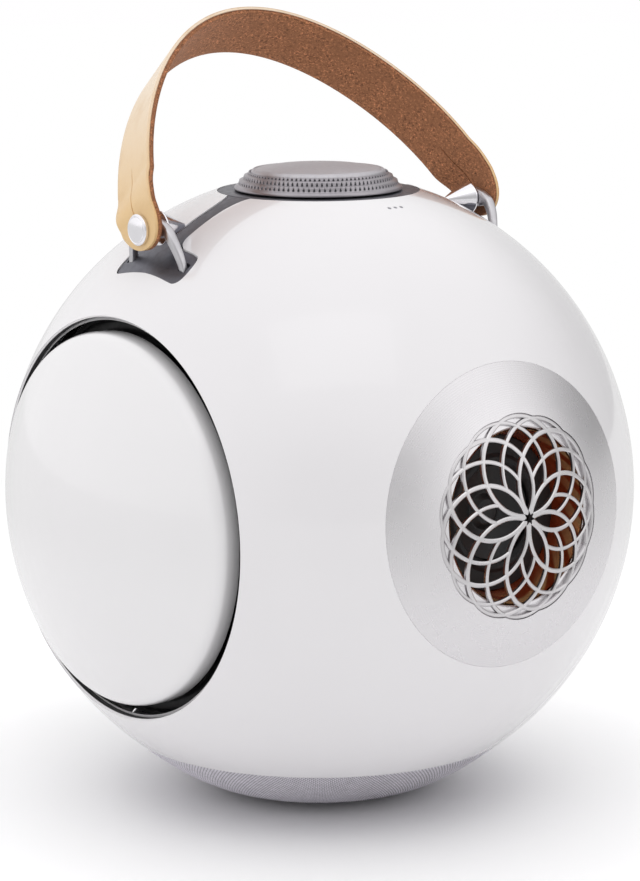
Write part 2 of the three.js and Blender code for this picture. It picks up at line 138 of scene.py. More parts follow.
def rounded(points, closed=False, steps=5):
    """A profile or outline with arcs: a third number in a point is its corner's radius."""
    out = []
    for i, point in enumerate(points):
        corner = Vector(point[:2])
        inner = closed or 0 < i < len(points) - 1
        if len(point) < 3 or not inner:
            out.append(tuple(corner))
            continue
        before = Vector(points[i - 1][:2]) - corner
        after = Vector(points[(i + 1) % len(points)][:2]) - corner
        half = before.angle(after) / 2
        reach = min(point[2] / math.tan(half), 0.49 * min(before.length, after.length))
        before.normalize()
        after.normalize()
        middle = corner + (before + after).normalized() * reach / math.cos(half)
        start, end = corner + before * reach - middle, corner + after * reach - middle
        out += [tuple(p) for p in arc(middle, start, end, math.pi - 2 * half, steps=steps)]
    return out


def rectangle(half_x, low_y, high_y, corner):
    """A rounded rectangle centred on x = 0."""
    return rounded([(-half_x, low_y, corner), (half_x, low_y, corner), (half_x, high_y, corner),
                    (-half_x, high_y, corner)], closed=True)


def spoke(k, count):
    a = 2 * math.pi * k / count
    return Vector((math.cos(a), math.sin(a), 0))


def ball_arc(radius, ring_from, ring_to, steps=12):
    start, end = math.asin(ring_from / radius), math.asin(ring_to / radius)
    angles = [start + (end - start) * k / steps for k in range(steps + 1)]
    return [(radius * math.sin(a), radius * math.cos(a)) for a in angles]


# ------------------------ meshes
def written(work, mesh=None):
    """The finished mesh of a bmesh, which is freed."""
    mesh = mesh or bpy.data.meshes.new("work")
    work.to_mesh(mesh)
    work.free()
    return mesh


def solid(verts, faces):
    mesh = bpy.data.meshes.new("work")
    mesh.from_pydata([tuple(v) for v in verts], [], faces)
    work = bmesh.new()
    work.from_mesh(mesh)
    bmesh.ops.remove_doubles(work, verts=work.verts, dist=1e-4)
    bmesh.ops.recalc_face_normals(work, faces=work.faces)
    return written(work, mesh)


def lathe(profile, way=UP, steps=128, closed=False):
    """A turned body: the profile is (radius, distance along the axis)."""
    turn = UP.rotation_difference(way).to_matrix()
    verts, rings, faces = [], [], []
    for radius, height in profile:
        if radius < 1e-6:
            rings.append([len(verts)] * steps)
            verts.append(turn @ Vector((0, 0, height)))
            continue
        rings.append(list(range(len(verts), len(verts) + steps)))
        for k in range(steps):
            a = 2 * math.pi * k / steps
            verts.append(turn @ Vector((radius * math.cos(a), radius * math.sin(a), height)))
    for lower, upper in zip(rings, rings[1:] + (rings[:1] if closed else [])):
        for k in range(steps):
            m = (k + 1) % steps
            face = list(dict.fromkeys((lower[k], lower[m], upper[m], upper[k])))
            if len(face) > 2:
                faces.append(face)
    return solid(verts, faces)


def rod(radius, low, high, way=UP, steps=128):
    return lathe([(0, low), (radius, low), (radius, high), (0, high)], way, steps)


def turned(points, way=UP, steps=128, closed=False, corner_steps=5):
    """A turned body whose profile has rounded corners."""
    return lathe(rounded(points, closed, corner_steps), way, steps, closed)


def prism(outline, low, high, turn=Matrix.Identity(3)):
    """A flat outline in X and Y drawn out along Z, then turned."""
    count = len(outline)
    verts = [turn @ Vector((x, y, z)) for z in (low, high) for x, y in outline]
    walls = [(k, (k + 1) % count, count + (k + 1) % count, count + k) for k in range(count)]
    return solid(verts, [tuple(range(count))[::-1], tuple(range(count, 2 * count)), *walls])


def ball(radius, subdivisions=6):
    work = bmesh.new()
    bmesh.ops.create_icosphere(work, subdivisions=subdivisions, radius=radius)
    return written(work)


def moved(mesh, matrix):
    mesh = mesh.copy()
    mesh.transform(matrix)
    if matrix.determinant() < 0:
        mesh.flip_normals()
    return mesh


MIRROR = Matrix.Scale(-1, 4, Vector((1, 0, 0)))


def placed(name, data):
    obj = bpy.data.objects.new(name, data)
    bpy.context.scene.collection.objects.link(obj)
    return obj


def boolean(mesh, tool, operation="DIFFERENCE"):
    objects = [placed("work", m) for m in (mesh, tool)]
    change = objects[0].modifiers.new("cut", "BOOLEAN")
    change.operation, change.solver, change.object = operation, "MANIFOLD", objects[1]
    graph = bpy.context.evaluated_depsgraph_get()
    result = bpy.data.meshes.new_from_object(objects[0].evaluated_get(graph))
    for o in objects:
        bpy.data.objects.remove(o)
    return result


def cut(mesh, *tools):
    for tool in tools:
        mesh = boolean(mesh, tool)
    return mesh


def unite(mesh, *others):
    for other in others:
        mesh = boolean(mesh, other, "UNION")
    return mesh


def tube(sections, cap=True):
    """A loft through rings of points of equal count."""
    count = len(sections[0])
    verts = [p for section in sections for p in section]
    faces = []
    for s in range(len(sections) - 1):
        for k in range(count):
            m = (k + 1) % count
            faces.append((s * count + k, s * count + m, (s + 1) * count + m, (s + 1) * count + k))
    if cap:
        last = (len(sections) - 1) * count
        faces.append(tuple(range(count))[::-1])
        faces.append(tuple(range(last, last + count)))
    return solid(verts, faces)


def add_piece(name, mesh, slot, node, body="cabinet", finish=None, crease=32, ball_r=None):
    """Puts a mesh into the frame in place of a CAD node, riding on a body.

    finish lists its materials, the slot's own by default; ball_r names a sphere whose skin shades
    as a true one.
    """
    mesh = mesh.copy()
    mesh.name = name
    mesh.shade_smooth()
    mesh.set_sharp_from_angle(angle=math.radians(crease))
    if ball_r:
        true_ball(mesh, ball_r)
    mesh.transform(TO_FRAME)
    mesh.materials.clear()
    for key in finish or (slot,):
        mesh.materials.append(FINISH[key])
    piece = placed(name, mesh)
    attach(piece, body)
    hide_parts(node)
    return piece


def true_ball(mesh, radius):
    """Gives the corners that lie on a sphere about the centre the sphere's own normals."""
    normals = [corner.vector.copy() for corner in mesh.corner_normals]
    for face in mesh.polygons:
        for loop in face.loop_indices:
            place = mesh.vertices[mesh.loops[loop].vertex_index].co
            if abs(place.length - radius) < 0.02 and face.normal.dot(place) > 0.9 * radius:
                normals[loop] = place.normalized()
    mesh.normals_split_custom_set(normals)


# ------------------------ materials
class Graph:
    """A node tree under construction; a value is a number or another node's socket."""

    def __init__(self, tree):
        self.tree = tree

    def add(self, kind, **values):
        node = self.tree.nodes.new(kind)
        for key, value in values.items():
            setattr(node, key, value)
        return node

    def link(self, source, target):
        self.tree.links.new(source, target)
        return self

    def feed(self, node, names, values):
        for name, value in zip(names, values):
            if isinstance(value, bpy.types.NodeSocket):
                self.link(value, node.inputs[name])
            else:
                node.inputs[name].default_value = value
        return node.outputs

    def maths(self, operation, *values):
        return self.feed(self.add("ShaderNodeMath", operation=operation), (0, 1), values)["Value"]

    def eased(self, source, low, high, start=0.0, end=1.0):
        """low to high, eased at both ends, as source goes from start to end."""
        node = self.add("ShaderNodeMapRange", interpolation_type="SMOOTHSTEP")
        names = ("Value", "From Min", "From Max", "To Min", "To Max")
        return self.feed(node, names, (source, start, end, low, high))["Result"]

    def between(self, factor, low, high):
        return self.feed(self.add("ShaderNodeMix"), ("Factor", "A", "B"), (factor, low, high))["Result"]

    def emission(self, strength):
        return self.feed(self.add("ShaderNodeEmission"), ("Strength",), (strength,))["Emission"]


class Finish(Graph):
    """A Principled material whose colour, roughness and relief come from procedural nodes."""

    def __init__(self, name, colour, roughness, metallic=0.0, **sockets):
        self.material = bpy.data.materials.new(name)
        self.material.use_nodes = True
        super().__init__(self.material.node_tree)
        self.shader = self.tree.nodes["Principled BSDF"]
        self.colour, self.roughness = colour, roughness
        self.shader.inputs["Base Color"].default_value = (*colour, 1)
        self.shader.inputs["Roughness"].default_value = roughness
        self.shader.inputs["Metallic"].default_value = metallic
        for socket, value in sockets.items():
            self.shader.inputs[socket.replace("_", " ")].default_value = value
        self.height = None
        self.where = self.add("ShaderNodeTexCoord").outputs["Object"]

    def stretched(self, scale):
        mapping = self.add("ShaderNodeMapping")
        mapping.inputs["Scale"].default_value = scale
        self.link(self.where, mapping.inputs["Vector"])
        return mapping.outputs["Vector"]

    def noise(self, size, detail=3.0, rough=0.55, where=None, distortion=0.0):
        """Fractal noise whose patches are about size millimetres."""
        node = self.add("ShaderNodeTexNoise")
        node.inputs["Scale"].default_value = 1 / (size * MM)
        node.inputs["Detail"].default_value = detail
        node.inputs["Roughness"].default_value = rough
        node.inputs["Distortion"].default_value = distortion
        self.link(where or self.where, node.inputs["Vector"])
        return node.outputs["Fac"]

    def cells(self, size, feature="F1", randomness=1.0):
        node = self.add("ShaderNodeTexVoronoi", feature=feature)
        node.inputs["Scale"].default_value = 1 / (size * MM)
        node.inputs["Randomness"].default_value = randomness
        self.link(self.where, node.inputs["Vector"])
        return node.outputs["Distance"]

    def mapped(self, source, low, high, start=0.3, end=0.7):
        names = ("Value", "From Min", "From Max", "To Min", "To Max")
        return self.feed(self.add("ShaderNodeMapRange"), names, (source, start, end, low, high))["Result"]

    def tint(self, source, other, start=0.3, end=0.7):
        """Moves the colour towards another where source is high; calls add up."""
        node = self.add("ShaderNodeMix", data_type="RGBA")
        self.link(self.mapped(source, 0, 1, start, end), node.inputs["Factor"])
        base = self.shader.inputs["Base Color"]
        if base.is_linked:
            self.link(base.links[0].from_socket, node.inputs["A"])
        else:
            node.inputs["A"].default_value = (*self.colour, 1)
        node.inputs["B"].default_value = (*other, 1)
        return self.link(node.outputs["Result"], base)

    def wear(self, source, low, high):
        return self.link(self.mapped(source, low, high), self.shader.inputs["Roughness"])

    def relief(self, source, depth, strength=1.0):
        """Bumps depth millimetres high; calls add up."""
        node = self.add("ShaderNodeBump")
        node.inputs["Distance"].default_value = depth * MM
        node.inputs["Strength"].default_value = strength
        self.link(source, node.inputs["Height"])
        if self.height:
            self.link(self.height, node.inputs["Normal"])
        self.height = node.outputs["Normal"]
        return self.link(self.height, self.shader.inputs["Normal"])

    def spun(self, axis):
        """Turned metal: highlights run round the axis."""
        tangent = self.add("ShaderNodeTangent", direction_type="RADIAL", axis=axis)
        return self.link(tangent.outputs["Tangent"], self.shader.inputs["Tangent"])

    def rings(self, axis, size):
        """Fine concentric tool marks about an axis through the middle."""
        node = self.add("ShaderNodeTexWave", wave_type="RINGS", rings_direction=axis)
        node.inputs["Scale"].default_value = 0.3 / (size * MM)
        node.inputs["Distortion"].default_value = 0.6
        shift = self.add("ShaderNodeMapping")
        shift.inputs["Location"].default_value = (0, 0, -CENTRE.z)
        self.link(self.where, shift.inputs["Vector"])
        self.link(shift.outputs["Vector"], node.inputs["Vector"])
        return node.outputs["Fac"]


def shade(colour, factor):
    return tuple(c * factor for c in colour)


def lacquer(name, colour):
    f = Finish(name, colour, 0.22, Coat_Weight=1.0, Coat_Roughness=0.03)
    f.tint(f.noise(60, 2), shade(colour, 0.985))
    f.wear(f.noise(8, 3), 0.18, 0.26)
    return f.relief(f.noise(1.6, 2), 0.002).material


def metal(name, colour, roughness, grain=0.25, spread=0.9, **sockets):
    f = Finish(name, colour, roughness, 1.0, **sockets)
    f.tint(f.noise(6, 4), shade(colour, spread))
    f.wear(f.noise(2.5, 4), roughness * 0.85, roughness * 1.2)
    return f.relief(f.noise(grain, 2), 0.01)


def turned_metal(name, colour, roughness, axis, **sockets):
    f = Finish(name, colour, roughness, 1.0, Anisotropic=0.8, **sockets)
    f.tint(f.rings(axis, 0.9), shade(colour, 0.97))
    f.wear(f.noise(9, 2), roughness * 0.95, roughness * 1.05)
    f.spun(axis).relief(f.rings(axis, 0.35), 0.003)
    return f.material


def moulded(name, colour, roughness, grain=0.5, depth=0.03):
    f = Finish(name, colour, roughness)
    f.tint(f.noise(12, 3), shade(colour, 0.8))
    f.wear(f.noise(3, 3), roughness * 0.9, min(1, roughness * 1.15))
    return f.relief(f.noise(grain, 3), depth).material


def leather_finish():
    f = Finish("leather_tan", (0.80, 0.55, 0.27), 0.42, Coat_Weight=0.15, Coat_Roughness=0.3)
    # Painted sheen: the leather turns lighter and creamier towards the top of the strap, as if light were
    # falling on it there.
    height = f.add("ShaderNodeSeparateXYZ")
    f.link(f.where, height.inputs["Vector"])
    f.tint(height.outputs["Z"], (0.90, 0.75, 0.58), 0.285, 0.345)
    f.tint(f.noise(14, 4), (0.70, 0.46, 0.22), 0.5, 1.1)
    f.wear(f.noise(2, 4), 0.36, 0.5)
    return f.relief(f.cells(0.9), 0.03).relief(f.noise(0.35, 3), 0.03).material


def suede_finish(name, colour):
    f = Finish(name, colour, 0.95, Sheen_Weight=0.25, Sheen_Roughness=0.5, Sheen_Tint=(0.9, 0.6, 0.45, 1))
    f.tint(f.noise(1.5, 4, 0.8), shade(colour, 0.3), 0.5, 0.62)
    f.tint(f.noise(1.3, 4, 0.8, f.stretched((1, 1, 1.3))), shade(colour, 2.4), 0.52, 0.66)
    f.tint(f.noise(9, 3), shade(colour, 0.85), 0.4, 0.8)
    return f.relief(f.noise(0.5, 4, 0.7), 0.2).material


def mesh_finish():
    colour = (0.86, 0.83, 0.90)
    f = Finish("base_mesh_grey", colour, 0.55, 0.2)
    f.tint(f.noise(3, 3), shade(colour, 0.8))
    return f.relief(f.cells(0.4), 0.05).material


def horn_finish():
    f = Finish("copper_horn", (1.0, 0.56, 0.25), 0.17, 0.6)
    # Painted shade: the copper turns dark red deeper in the horn, inward from its outer lip, as it would
    # in shade.
    depth = f.add("ShaderNodeSeparateXYZ")
    f.link(f.where, depth.inputs["Vector"])
    f.tint(depth.outputs["Y"], (0.5, 0.09, 0.03), -0.141, -0.131)
    f.tint(f.rings("Y", 2.4), (0.45, 0.07, 0.02), 0.45, 0.8)
    f.wear(f.noise(3, 3), 0.13, 0.2)
    return f.relief(f.rings("Y", 1.2), 0.06).material


FINISH = {
    "shell": lacquer("pearl_white", (0.84, 0.825, 0.84)),
    "dome": lacquer("dome_white", (0.85, 0.84, 0.85)),
    "bezel": turned_metal("bezel_silver", (0.78, 0.765, 0.78), 0.27, "Y"),
    "grille": metal("grille_silver", (0.66, 0.645, 0.655), 0.3, spread=0.97).material,
    "trim": metal("trim_slate", (0.17, 0.17, 0.195), 0.42).material,
    "dial": metal("dial_grey", (0.42, 0.40, 0.425), 0.38).material,
    # Painted shade for the floors of the dial's notches.
    "dot": moulded("notch_shade_dark", (0.07, 0.07, 0.08), 0.5),
    "cap": metal("dial_cap_grey", (0.56, 0.545, 0.57), 0.5, spread=0.98).material,
    "bail": metal("bail_silver", (0.60, 0.59, 0.61), 0.33).material,
    "polished": metal("polished_steel", (0.88, 0.87, 0.90), 0.08, spread=0.97).material,
    "waveguide": horn_finish(),
    "coil": metal("copper_wire", (0.72, 0.38, 0.20), 0.3).material,
    "rubber": moulded("rubber_black", (0.012, 0.012, 0.013), 0.6),
    "cone": moulded("cone_black", (0.008, 0.008, 0.009), 0.4),
    "basket": metal("frame_black", (0.10, 0.10, 0.11), 0.5).material,
    "magnet": moulded("magnet_dark", (0.09, 0.09, 0.10), 0.55),
    "plastic": moulded("plastic_black", (0.035, 0.035, 0.038), 0.45),
    "mesh": mesh_finish(),
    "mesh_hole": moulded("mesh_hole_grey", (0.34, 0.325, 0.36), 0.7),
    "leather": leather_finish(),
    "edge": suede_finish("leather_cut_edge", (0.38, 0.175, 0.085)),
    "suede": suede_finish("suede_brown", (0.37, 0.155, 0.07)),
    "steel": metal("steel_plain", (0.55, 0.55, 0.57), 0.3).material,
    "board": moulded("board_green", (0.04, 0.15, 0.07), 0.4),
    "light": moulded("light_pipe", (0.30, 0.30, 0.33), 0.25),
    "button": turned_metal("button_silver", (0.62, 0.62, 0.64), 0.3, "Y"),
}


# ------------------------ casing
def rim_edges(work, axis, height):
    """The open edges that lie in the plane at that height along the axis."""
    return [e for e in work.edges if e.is_boundary
            and all(abs(v.co.dot(axis) - height) < 0.05 for v in e.verts)]


def lip_profile(radius, thickness, ring, lip):
    """(radius, height) from the ball's skin over a rolled lip, then down the wall of the opening."""
    middle = Vector((ring + lip, on_ball(radius - lip, ring + lip)))
    start, level = middle.normalized(), Vector((-1, 0))
    rolled = arc(middle, start, level, start.angle(level), lip, first=1, steps=6)
    return rolled + [Vector((ring, on_ball(radius - thickness, ring) + 0.3))]


def add_wall(work, rim, axis, profile, inner):
    """Joins a rim of the outer skin to the inner skin by way of a profile."""
    columns = {}
    for v in dict.fromkeys(v for e in rim for v in e.verts):
        out = (v.co - axis * v.co.dot(axis)).normalized()
        wall = [work.verts.new(out * p.x + axis * p.y) for p in profile]
        columns[v] = [v, *wall, inner[v]]
    for e in rim:
        a, b = (columns[v] for v in e.verts)
        for k in range(len(a) - 1):
            work.faces.new((a[k], b[k], b[k + 1], a[k + 1]))


def cut_ball(radius, thickness, openings, subdivisions=7):
    """A hollow ball with round openings, each (axis, ring radius, lip radius), lips rolled inward."""
    work = bmesh.new()
    bmesh.ops.create_icosphere(work, subdivisions=subdivisions, radius=radius)
    heights = [on_ball(radius, ring + lip) for _, ring, lip in openings]
    for (axis, _, _), height in zip(openings, heights):
        everything = work.verts[:] + work.edges[:] + work.faces[:]
        bmesh.ops.bisect_plane(
            work, geom=everything, dist=0.02, plane_co=axis * height, plane_no=axis, clear_outer=True)
    rims = [rim_edges(work, axis, height) for (axis, _, _), height in zip(openings, heights)]
    for v in work.verts:
        v.co = v.co.normalized() * radius
    shrink = (radius - thickness) / radius
    outer_faces = work.faces[:]
    inner = {v: work.verts.new(v.co * shrink) for v in work.verts[:]}
    for (axis, ring, lip), rim in zip(openings, rims):
        add_wall(work, rim, axis, lip_profile(radius, thickness, ring, lip), inner)
    for face in outer_faces:
        work.faces.new([inner[v] for v in reversed(face.verts)])
    bmesh.ops.recalc_face_normals(work, faces=work.faces)
    return written(work)


def trim_outline(grow):
    """Half of the trim: the spine flares into the collar and into the anchor plate."""
    w = SPINE_HALF_W + grow
    edge = [(36, w + 12), (43, w + 6.4), (47, w + 3.5), (51, w + 1.6), (56, w + 0.5), (62, w), (78, w),
            (81.5, w + 0.3), (84.3 - grow, w + 1.6), (86 - grow, w + 4.4), (86.5 - grow, w + 8),
            (86.8 - grow, 19.8), (87.8 - grow, 22.6 + grow), (90.4, 24 + grow), (95, 24.4 + grow),
            (98.3, 23.8 + grow), (100.1 + grow, 21.6 + grow), (100.5 + grow, 18.5), (100.1 + grow, 9),
            (99.8 + grow, 0)]
    outline = smooth_curve(edge, 5)
    return outline + [(x, -y) for x, y in reversed(outline[:-1])]


def trim_prism(grow):
    arm = prism(trim_outline(grow), 80, FAR)
    disc = rod(COLLAR_R + grow, 80, FAR, steps=160)
    return unite(disc, arm, moved(arm, MIRROR))


LIGHTS = {"left": -3.5, "middle": 0.0, "right": 3.5}
LIGHT_Y, LIGHT_R = -56.6, 0.8


def light_way(x):
    return Vector((x, LIGHT_Y, on_ball(BALL_R, math.hypot(x, LIGHT_Y)))).normalized()


def shell():
    """The pearl-white ball and its openings; the walls round the side drivers take the black rubber finish
    as painted shade.
    """
    openings = [(side_way(side), WOOFER_HOLE_R, LIP) for side in SIDES.values()]
    openings += [(FRONT, BEZEL_R + 0.04, 0.06),
                 (BACK, on_ball(BALL_R, REAR_COVER_Y) - LIP, LIP),
                 (DOWN, on_ball(BALL_R, BASE_TOP) - BASE_LIP, BASE_LIP)]
    recess = cut(trim_prism(SEAM), ball(BALL_R - RECESS_DEPTH))
    dial_hole = rod(COLLAR_R - 1.5, 100, FAR)
    lights = [rod(LIGHT_R + 0.15, 140, 155, light_way(x), 24) for x in LIGHTS.values()]
    body = cut(cut_ball(BALL_R, SHELL_T, openings), recess, dial_hole, *lights)
    piece = add_piece("shell", body, "shell", "shell_main", finish=("shell", "rubber"), ball_r=BALL_R)
    home = TO_FRAME.inverted()
    # Painted shade: the wall faces of the side driver openings get the black finish, standing for the
    # shade in the gap round the domes.
    for face in piece.data.polygons:
        ring = (home @ face.center).yz.length
        face.material_index = int(abs(ring - WOOFER_HOLE_R) < 0.12 and abs(face.normal.x) < 0.5)


def status_lights():
    for name, x in LIGHTS.items():
        lens = turned([(0, 146), (LIGHT_R, 146), (LIGHT_R, BALL_R + 0.05, 0.3), (0, BALL_R + 0.1)],
                      light_way(x), 24)
        add_piece(f"light_{name}", lens, "light", f"status_light_{name}")


def top_trim():
    """The collar, its spines and the anchor plates, with a slot for each foot of the bails."""
    skin = boolean(trim_prism(0), ball(BALL_R - TRIM_SINK, 7), "INTERSECT")
    trim = cut(skin, ball(BALL_R - TRIM_BACK))
    top, seat_r = COLLAR_TOP, COLLAR_R - 0.4
    above = lathe([(0, top - 0.6), (40, top - 0.25), (COLLAR_R - 0.3, top - 0.15),
                   (COLLAR_R + 3, top + 0.3), (COLLAR_R + 3, FAR), (0, FAR)], steps=160)
    seat = lathe([(COLLAR_BORE_R, top - 2.2), (seat_r, top - 2.2), (seat_r, top - 0.15),
                  (40, top - 0.25), (COLLAR_BORE_R, top - 0.6)], steps=160, closed=True)
    bore = rod(COLLAR_BORE_R, 80, FAR)
    slot = prism(rectangle(2.1, 17.6, 22.4, 0.8), 100, 160)
    slots = [moved(slot, Matrix.Diagonal((x, y, 1, 1)) @ Matrix.Translation((BAIL_FOOT_X, 0, 0)))
             for x in (-1, 1) for y in (-1, 1)]
    trim = unite(cut(trim, above, bore), seat)
    add_piece("trim", cut(trim, *slots), "trim", "top_trim", ball_r=BALL_R - TRIM_SINK)


def base_band():
    """(ring radius, depth) down the mesh, which swells a little past the ball."""
    swell = [(38.6, 149.7), (34, 150.3), (29.5, 151.1), (25, 151.65), (20.5, 151.55), (15.8, 151)]
    return [(radius * math.sin(math.radians(degrees)), radius * math.cos(math.radians(degrees)))
            for degrees, radius in smooth_curve(swell, 11)]


def base_skin():
    """The fine mesh: a checker of tiny dimples pressed into the band."""
    columns, dimple = 640, 0.5
    band = base_band()
    lining = ball_arc(BALL_R - BASE_T, BASE_EDGE_R, on_ball(BALL_R - BASE_T, BASE_TOP - 1), 6)
    sections = []
    for k in range(columns):
        way = spoke(k, columns)
        section = []
        for j, (ring, depth) in enumerate(band):
            sunk = dimple if (j + k) % 2 and 0 < j < len(band) - 1 else 0
            section.append((way * ring + DOWN * depth) * (1 - sunk / BALL_R))
        sections.append(section + [way * ring + DOWN * depth for ring, depth in lining])
    mesh = tube(sections + sections[:1], cap=False)
    piece = add_piece("base_skin", mesh, "mesh", "base_mesh", finish=("mesh", "mesh_hole"), crease=80)
    home = TO_FRAME.inverted()
    polar = [math.atan2(ring, depth) for ring, depth in band]
    for face in piece.data.polygons:
        place = home @ face.center
        turn = math.floor(math.atan2(place.y, place.x) / (2 * math.pi) * columns)
        row = sum(math.atan2(place.xy.length, -place.z) < angle for angle in polar)
        face.material_index = int(place.length > BALL_R - 1.2 and (turn + row) % 2 == 0)


def foot():
    """A rubber ring with two grooves in the face that stands on the table."""
    top, low, groove = FLOOR_H - 2.6, FLOOR_H, FLOOR_H - 0.6
    profile = [(24, top), (FOOT_R, top), (FOOT_R, low, 0.8), (33.5, low, 0.3), (33, groove, 0.3),
               (32.5, low, 0.3), (28.2, low, 0.3), (27.6, groove, 0.3), (27, low, 0.3),
               (24, low, 0.6)]
    add_piece("foot_ring", turned(profile, DOWN, closed=True), "rubber", "foot_pad")


# ------------------------ front
LAY_FRONT = FRONT_LIFT @ Matrix(((1, 0, 0), (0, 0, -1), (0, 1, 0)))


def rosette_outline(reach, steps=22):
    """The scalloped edge of the fourteen circles that pass through the axis."""
    count = 2 * PETALS
    half = math.pi / count
    outline = []
    for k in range(count):
        middle = math.pi / 2 + 2 * half * k
        for j in range(steps):
            a = middle - half + 2 * half * j / steps
            r = reach * math.cos(a - middle)
            outline.append((r * math.cos(a), r * math.sin(a)))
    return outline


def bezel():
    """The turned ring, with a scalloped seat for the grille and a throat for the horn."""
    skin = ball_arc(BALL_R, BEZEL_R - 0.06, 30, 24)
    edge_h = on_ball(BALL_R, BEZEL_R) - 0.03
    back = rounded([(THROAT_R, 136), (52, 134.5), (BEZEL_R, 129), (BEZEL_R, edge_h, 0.06)])
    body = lathe(back + skin + [(30, 136)], FRONT, 200, closed=True)
    seat = cut(prism(rosette_outline(GRILLE_R + 0.12), 130, 160, LAY_FRONT), ball(BALL_R - 1.75, 7))
    throat = turned([(0, 130), (THROAT_R, 130), (THROAT_R, 142.0, 0.5), (41, 142.8), (41, 160), (0, 160)],
                    FRONT, 160)
    add_piece("bezel", cut(body, seat, throat), "bezel", "front_bezel", ball_r=BALL_R)


def at_petal(mesh, angle):
    reach = GRILLE_R / 2
    return moved(mesh, Matrix.Translation((reach * math.cos(angle), reach * math.sin(angle), 0)))


def petal_ring(angle, width):
    """A flat ring through the axis, its front edges broken."""
    thick, flat, slope = 1.6, width / 2 - 0.5, 0.42
    section = [(-width / 2, -thick), (width / 2, -thick), (width / 2, -slope), (flat, 0), (-flat, 0),
               (-width / 2, -slope)]
    middle = GRILLE_R / 2 - width / 2
    return at_petal(lathe([(middle + x, z) for x, z in section], steps=96, closed=True), angle)


def petal_disc(angle):
    return at_petal(rod(GRILLE_R / 2 - RIB_W / 2, -9, 9, steps=96), angle)


def star_outline():
    outline = []
    for k in range(2 * PETALS):
        r, a = STAR_R * (0.5 if k % 2 else 1.0), math.pi / 2 + k * math.pi / PETALS
        outline.append((r * math.cos(a), r * math.sin(a)))
    return outline


def bent_onto_ball(flat):
    """Turns a flat grille to the front and bows it over the ball."""
    work = bmesh.new()
    work.from_mesh(flat)
    bmesh.ops.remove_doubles(work, verts=work.verts, dist=0.002)
    bmesh.ops.triangulate(work, faces=work.faces)
    for v in work.verts:
        off = math.hypot(v.co.x, v.co.y)
        v.co = FRONT_LIFT @ Vector((v.co.x, -on_ball(BALL_R - 0.1 + v.co.z, off), v.co.y))
    bmesh.ops.recalc_face_normals(work, faces=work.faces)
    mesh = written(work, flat)
    mesh.validate()
    return mesh


def grille():
    """Fourteen rings through the axis; the second seven stop at the petals of the first."""
    step = 2 * math.pi / PETALS
    turns = [math.pi / 2 + k * step for k in range(PETALS)]
    lenses = [boolean(petal_disc(a - step), petal_disc(a + step), "INTERSECT") for a in turns]
    primary = unite(*[petal_ring(a, RIB_W) for a in turns])
    secondary = cut(unite(*[petal_ring(a + step / 2, RIB_W * 0.85) for a in turns]), *lenses)
    flat = cut(unite(primary, secondary), prism(star_outline(), -9, 9))
    add_piece("rosette_grille", bent_onto_ball(flat), "grille", "front_grille", crease=24)


def horn():
    profile = [(39.1, 141.6), (37.4, 135.8, 12), (35.6, 129, 12), (35.2, 124.9), (36.8, 124.9),
               (38.6, 134.5, 8), (39.1, 139)]
    add_piece("copper_horn", turned(profile, FRONT, 160, closed=True, corner_steps=8), "waveguide",
              "waveguide_ring")


def front_roll():
    profile = [(35.0, 124.8), (35.0, 126.2, 0.3), (27.0, 126.2, 0.6), (25.2, 127.9, 1.2),
               (23.2, 127.9, 1.2), (21.6, 126.0, 0.6), (21.6, 124.8)]
    add_piece("front_roll", turned(profile, FRONT, closed=True), "rubber", "front_surround")


def front_cone():
    profile = [(0, 122.4), (5.6, 121.6, 2), (8.4, 118.9, 0.8), (21, 124.4), (21, 123.2), (8, 116.8),
               (0, 119.4)]
    add_piece("front_cone_disc", turned(profile, FRONT), "cone", "front_cone", "front_cone")


# ------------------------ side drivers
def dome(name, side):
    """The white dome: the ball's own curve, a rolled edge and a short skirt."""
    skin_r = BALL_R - 0.2
    middle = DOME_R - DOME_EDGE_R
    edge = Vector((middle, on_ball(skin_r - DOME_EDGE_R, middle)))
    start, level = edge.normalized(), Vector((1, 0))
    rolled = [tuple(p) for p in arc(edge, start, level, start.angle(level), DOME_EDGE_R, first=1)]
    skin = ball_arc(skin_r, 0, start.x * skin_r, 30)
    skirt = rounded([(DOME_R, 116), (DOME_R, 112.2, 0.6), (DOME_R - 3, 112.2, 0.6), (DOME_R - 3, 118)])
    under = ball_arc(BALL_R - 3.4, DOME_R - 8, 0, 10)
    add_piece(f"dome_{name}", lathe(skin + rolled + skirt + under, side_way(side), 200), "dome",
              f"woofer_dome_{name}", f"woofer_{name}")


def surround(name, side):
    profile = [(94, 102.5), (94, 104.2, 0.5), (91.6, 104.2, 0.5), (89.6, 106.4, 1.6),
               (86.2, 106.6, 2), (83.4, 104.2, 0.6), (81, 104.2, 0.4), (81, 102.5)]
    add_piece(f"surround_{name}", turned(profile, side_way(side), 160, closed=True), "rubber",
              f"woofer_surround_{name}")


# ------------------------ dial
DOTS, COLUMNS_PER_DOT, ROWS_PER_RISER = 96, 10, 9
NOTCH_DEPTH, NOTCH_SHADE_FROM = 0.55, 0.25
NOTCH_FOOT, NOTCH_TOP = 0.05, 0.95


